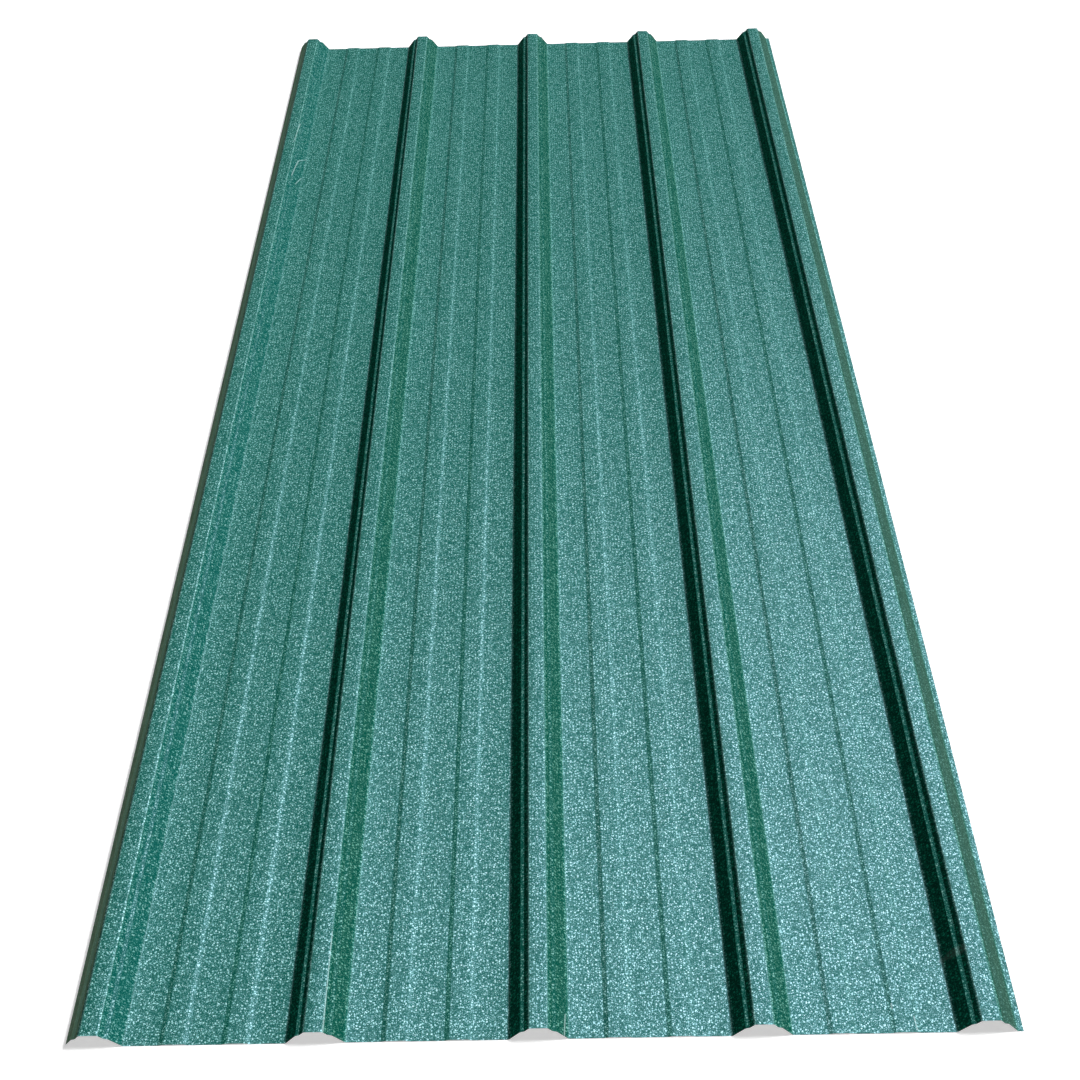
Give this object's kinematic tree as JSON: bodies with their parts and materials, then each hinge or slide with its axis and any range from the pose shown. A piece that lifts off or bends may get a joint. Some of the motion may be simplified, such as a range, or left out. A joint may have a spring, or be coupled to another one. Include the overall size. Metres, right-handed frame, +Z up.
{
  "type": "box-rib metal roofing sheet",
  "caption": "Long painted steel sheet rolled into trapezoidal box ribs with ledged webs, shallow stiffeners in its flat pans and side-lap edges, for roofs and walls.",
  "frame": {"origin": "centre of the sheet's bounding box, on the plane that its pans lie on", "axes": "+Y along the ribs, away from the end nearest the camera; +Z up, out of the painted face; +X towards the bearing lip"},
  "size_m": [1.08, 2.44, 0.0259],
  "materials": {
    "green_paint": "textured semi-matt green paint with fine pale speckle"
  },
  "bodies": {
    "root": {"profiled_sheet": "green_paint"}
  },
  "joints": []
}
